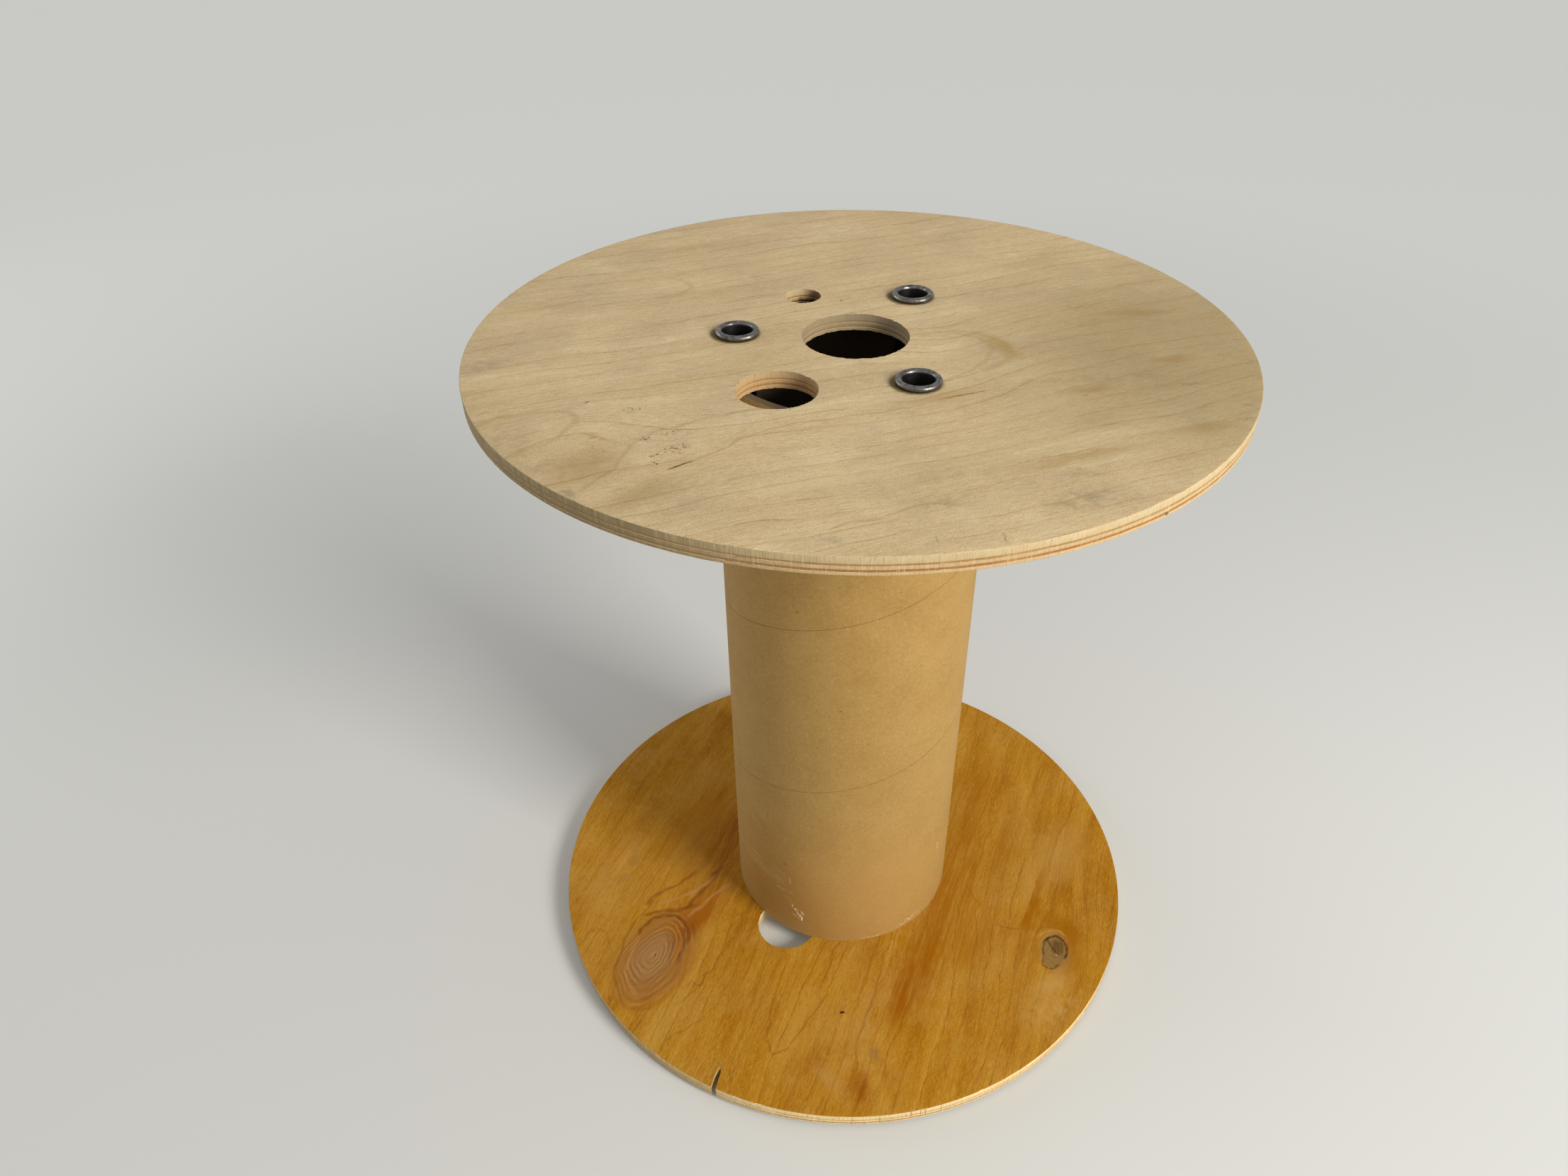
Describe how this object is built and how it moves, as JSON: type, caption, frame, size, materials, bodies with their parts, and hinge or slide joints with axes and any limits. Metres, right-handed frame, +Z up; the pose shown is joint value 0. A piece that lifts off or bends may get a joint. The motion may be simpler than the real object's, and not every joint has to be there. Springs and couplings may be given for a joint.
{
  "type": "wooden cable drum",
  "caption": "Empty plywood cable drum on its end: round flanges clamped on a wound cardboard core by steel tie tubes, with spindle, cable and drive holes.",
  "frame": {"origin": "on the drum's axis, level with the tie tube lips that it stands on", "axes": "+Z up along the drum's axis; +X to the right and +Y away, seen from the side where the cable hole and the split are at the front left"},
  "size_m": [0.4, 0.4, 0.424],
  "materials": {
    "plywood": "sanded plywood with open plies at its edges",
    "cardboard": "matte kraft paper, spiral wound",
    "steel": "dark bare steel, semi-gloss"
  },
  "bodies": {
    "root": {"upper_flange": "plywood", "lower_flange": "plywood", "core_tube": "cardboard", "tie_tube_1": "steel", "tie_tube_2": "steel", "tie_tube_3": "steel"}
  },
  "joints": []
}
